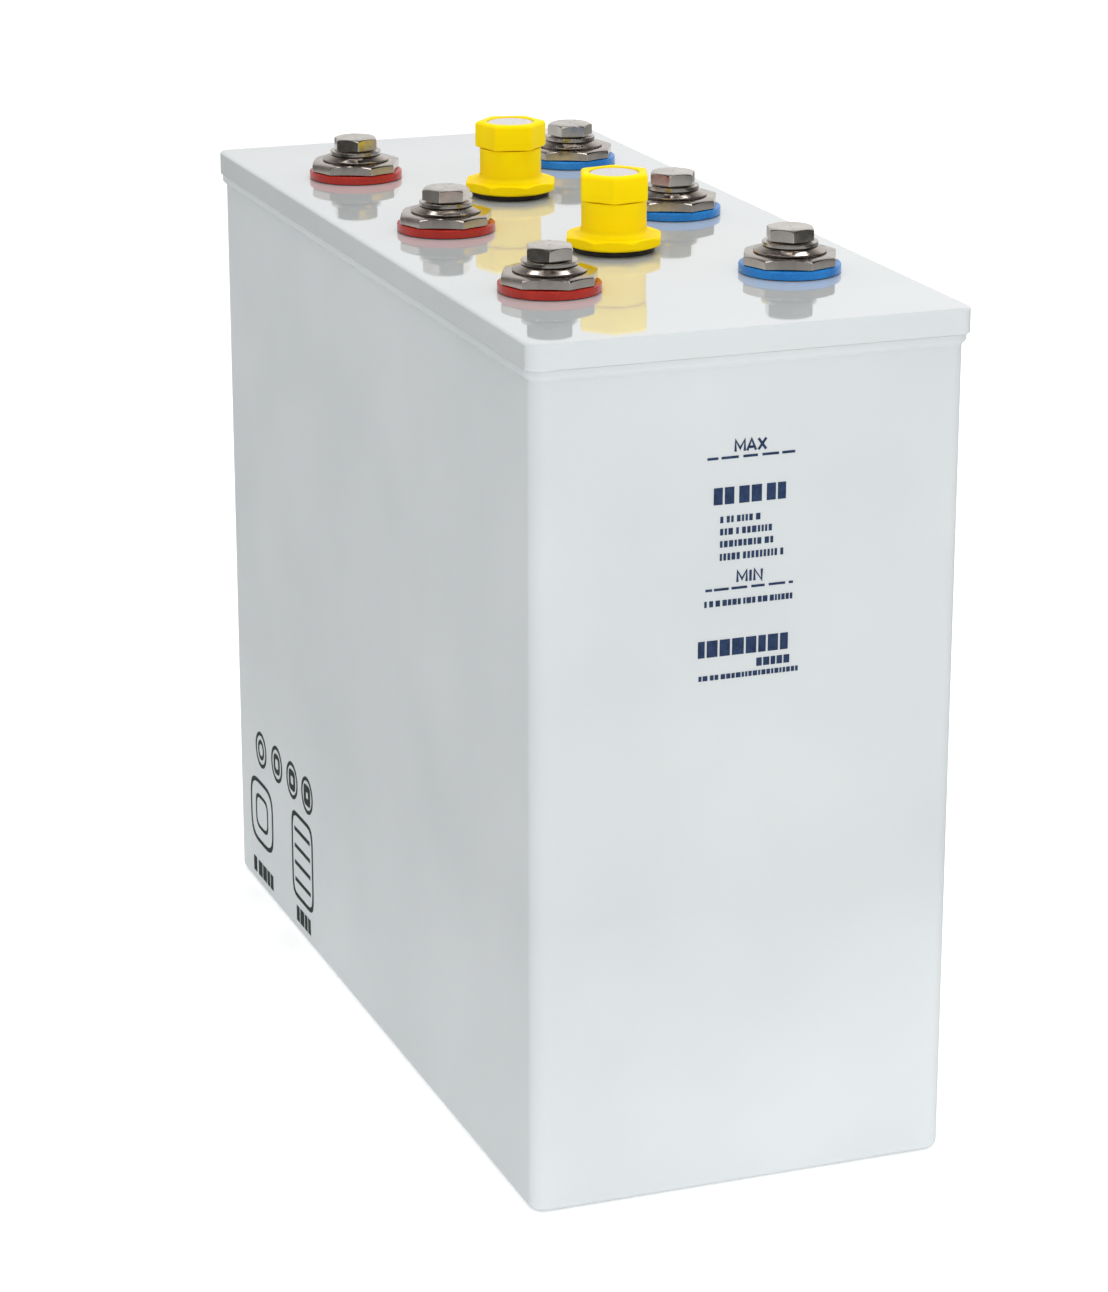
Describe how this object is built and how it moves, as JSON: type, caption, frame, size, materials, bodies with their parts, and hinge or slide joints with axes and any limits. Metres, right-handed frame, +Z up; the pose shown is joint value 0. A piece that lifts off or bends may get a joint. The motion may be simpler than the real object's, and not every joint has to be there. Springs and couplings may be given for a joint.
{
  "type": "vented industrial battery cell",
  "caption": "Tall translucent rectangular battery cell with a glossy lid, bolted red and blue ringed poles along its long sides, and yellow vent plugs on the centre line.",
  "frame": {"origin": "under the middle of the base, on the surface the cell stands on", "axes": "+Z up; +Y along the long side, with the narrow end that carries the level marks facing -Y; +X towards the negative poles"},
  "size_m": [0.195, 0.45, 0.4128],
  "materials": {
    "container_plastic": "translucent natural polypropylene, soft sheen",
    "lid_plastic": "glossy off-white polypropylene",
    "red_plastic": "moulded red polymer",
    "blue_plastic": "moulded blue polymer",
    "yellow_plastic": "moulded yellow polymer, semi-matte",
    "black_rubber": "black moulded rubber",
    "porous_ceramic": "porous sintered ceramic, matt",
    "plated_steel": "nickel-plated steel, bright and slightly warm",
    "plate_steel": "perforated nickel-plated steel pocket strip",
    "separator_plastic": "moulded polyethylene"
  },
  "bodies": {
    "cell": {"container": "container_plastic", "lid": "lid_plastic", "positive_seal_ring_1": "red_plastic", "positive_pole_1": "plated_steel", "positive_pole_nut_1": "plated_steel", "positive_plate_group_1": "plate_steel", "positive_seal_ring_2": "red_plastic", "positive_pole_2": "plated_steel", "positive_pole_nut_2": "plated_steel", "positive_plate_group_2": "plate_steel", "positive_seal_ring_3": "red_plastic", "positive_pole_3": "plated_steel", "positive_pole_nut_3": "plated_steel", "positive_plate_group_3": "plate_steel", "negative_seal_ring_1": "blue_plastic", "negative_pole_1": "plated_steel", "negative_pole_nut_1": "plated_steel", "negative_plate_group_1": "plate_steel", "negative_seal_ring_2": "blue_plastic", "negative_pole_2": "plated_steel", "negative_pole_nut_2": "plated_steel", "negative_plate_group_2": "plate_steel", "negative_seal_ring_3": "blue_plastic", "negative_pole_3": "plated_steel", "negative_pole_nut_3": "plated_steel", "negative_plate_group_3": "plate_steel", "separator_pack_1": "separator_plastic", "separator_pack_2": "separator_plastic", "separator_pack_3": "separator_plastic"},
    "positive_washers_1": {"positive_conical_washer_1": "plated_steel", "positive_flat_washer_1": "plated_steel"},
    "positive_bolt_1": {"positive_terminal_bolt_1": "plated_steel"},
    "positive_washers_2": {"positive_conical_washer_2": "plated_steel", "positive_flat_washer_2": "plated_steel"},
    "positive_bolt_2": {"positive_terminal_bolt_2": "plated_steel"},
    "positive_washers_3": {"positive_conical_washer_3": "plated_steel", "positive_flat_washer_3": "plated_steel"},
    "positive_bolt_3": {"positive_terminal_bolt_3": "plated_steel"},
    "negative_washers_1": {"negative_conical_washer_1": "plated_steel", "negative_flat_washer_1": "plated_steel"},
    "negative_bolt_1": {"negative_terminal_bolt_1": "plated_steel"},
    "negative_washers_2": {"negative_conical_washer_2": "plated_steel", "negative_flat_washer_2": "plated_steel"},
    "negative_bolt_2": {"negative_terminal_bolt_2": "plated_steel"},
    "negative_washers_3": {"negative_conical_washer_3": "plated_steel", "negative_flat_washer_3": "plated_steel"},
    "negative_bolt_3": {"negative_terminal_bolt_3": "plated_steel"},
    "vent_seal_1": {"vent_gasket_1": "black_rubber"},
    "vent_plug_1": {"vent_body_1": "yellow_plastic", "vent_cap_1": "yellow_plastic", "vent_flame_disc_1": "porous_ceramic"},
    "vent_seal_2": {"vent_gasket_2": "black_rubber"},
    "vent_plug_2": {"vent_body_2": "yellow_plastic", "vent_cap_2": "yellow_plastic", "vent_flame_disc_2": "porous_ceramic"}
  },
  "joints": [
    {"name": "positive_bolt_lift_1", "type": "slide", "parent": "cell", "child": "positive_washers_1", "axis": [0, 0, 1], "range_m": [0, 0.0157]},
    {"name": "positive_bolt_turn_1", "type": "hinge", "parent": "positive_washers_1", "child": "positive_bolt_1", "pos_m": [-0.0547, -0.133, 0.3916], "axis": [0, 0, 1], "range_deg": [0, 3240]},
    {"name": "positive_bolt_lift_2", "type": "slide", "parent": "cell", "child": "positive_washers_2", "axis": [0, 0, 1], "range_m": [0, 0.0157]},
    {"name": "positive_bolt_turn_2", "type": "hinge", "parent": "positive_washers_2", "child": "positive_bolt_2", "pos_m": [-0.0547, 0, 0.3916], "axis": [0, 0, 1], "range_deg": [0, 3240]},
    {"name": "positive_bolt_lift_3", "type": "slide", "parent": "cell", "child": "positive_washers_3", "axis": [0, 0, 1], "range_m": [0, 0.0157]},
    {"name": "positive_bolt_turn_3", "type": "hinge", "parent": "positive_washers_3", "child": "positive_bolt_3", "pos_m": [-0.0547, 0.133, 0.3916], "axis": [0, 0, 1], "range_deg": [0, 3240]},
    {"name": "negative_bolt_lift_1", "type": "slide", "parent": "cell", "child": "negative_washers_1", "axis": [0, 0, 1], "range_m": [0, 0.0157]},
    {"name": "negative_bolt_turn_1", "type": "hinge", "parent": "negative_washers_1", "child": "negative_bolt_1", "pos_m": [0.0547, -0.133, 0.3916], "axis": [0, 0, 1], "range_deg": [0, 3240]},
    {"name": "negative_bolt_lift_2", "type": "slide", "parent": "cell", "child": "negative_washers_2", "axis": [0, 0, 1], "range_m": [0, 0.0157]},
    {"name": "negative_bolt_turn_2", "type": "hinge", "parent": "negative_washers_2", "child": "negative_bolt_2", "pos_m": [0.0547, 0, 0.3916], "axis": [0, 0, 1], "range_deg": [0, 3240]},
    {"name": "negative_bolt_lift_3", "type": "slide", "parent": "cell", "child": "negative_washers_3", "axis": [0, 0, 1], "range_m": [0, 0.0157]},
    {"name": "negative_bolt_turn_3", "type": "hinge", "parent": "negative_washers_3", "child": "negative_bolt_3", "pos_m": [0.0547, 0.133, 0.3916], "axis": [0, 0, 1], "range_deg": [0, 3240]},
    {"name": "vent_lift_1", "type": "slide", "parent": "cell", "child": "vent_seal_1", "axis": [0, 0, 1], "range_m": [0, 0.04]},
    {"name": "vent_turn_1", "type": "hinge", "parent": "vent_seal_1", "child": "vent_plug_1", "pos_m": [0, -0.0665, 0.3804], "axis": [0, 0, 1], "range_deg": [0, 90]},
    {"name": "vent_lift_2", "type": "slide", "parent": "cell", "child": "vent_seal_2", "axis": [0, 0, 1], "range_m": [0, 0.04]},
    {"name": "vent_turn_2", "type": "hinge", "parent": "vent_seal_2", "child": "vent_plug_2", "pos_m": [0, 0.0665, 0.3804], "axis": [0, 0, 1], "range_deg": [0, 90]}
  ],
  "couplings": [
    {"joint": "positive_bolt_turn_1", "follows": "positive_bolt_lift_1", "rad_per_m": 3590.4},
    {"joint": "positive_bolt_turn_2", "follows": "positive_bolt_lift_2", "rad_per_m": 3590.4},
    {"joint": "positive_bolt_turn_3", "follows": "positive_bolt_lift_3", "rad_per_m": 3590.4},
    {"joint": "negative_bolt_turn_1", "follows": "negative_bolt_lift_1", "rad_per_m": 3590.4},
    {"joint": "negative_bolt_turn_2", "follows": "negative_bolt_lift_2", "rad_per_m": 3590.4},
    {"joint": "negative_bolt_turn_3", "follows": "negative_bolt_lift_3", "rad_per_m": 3590.4}
  ]
}
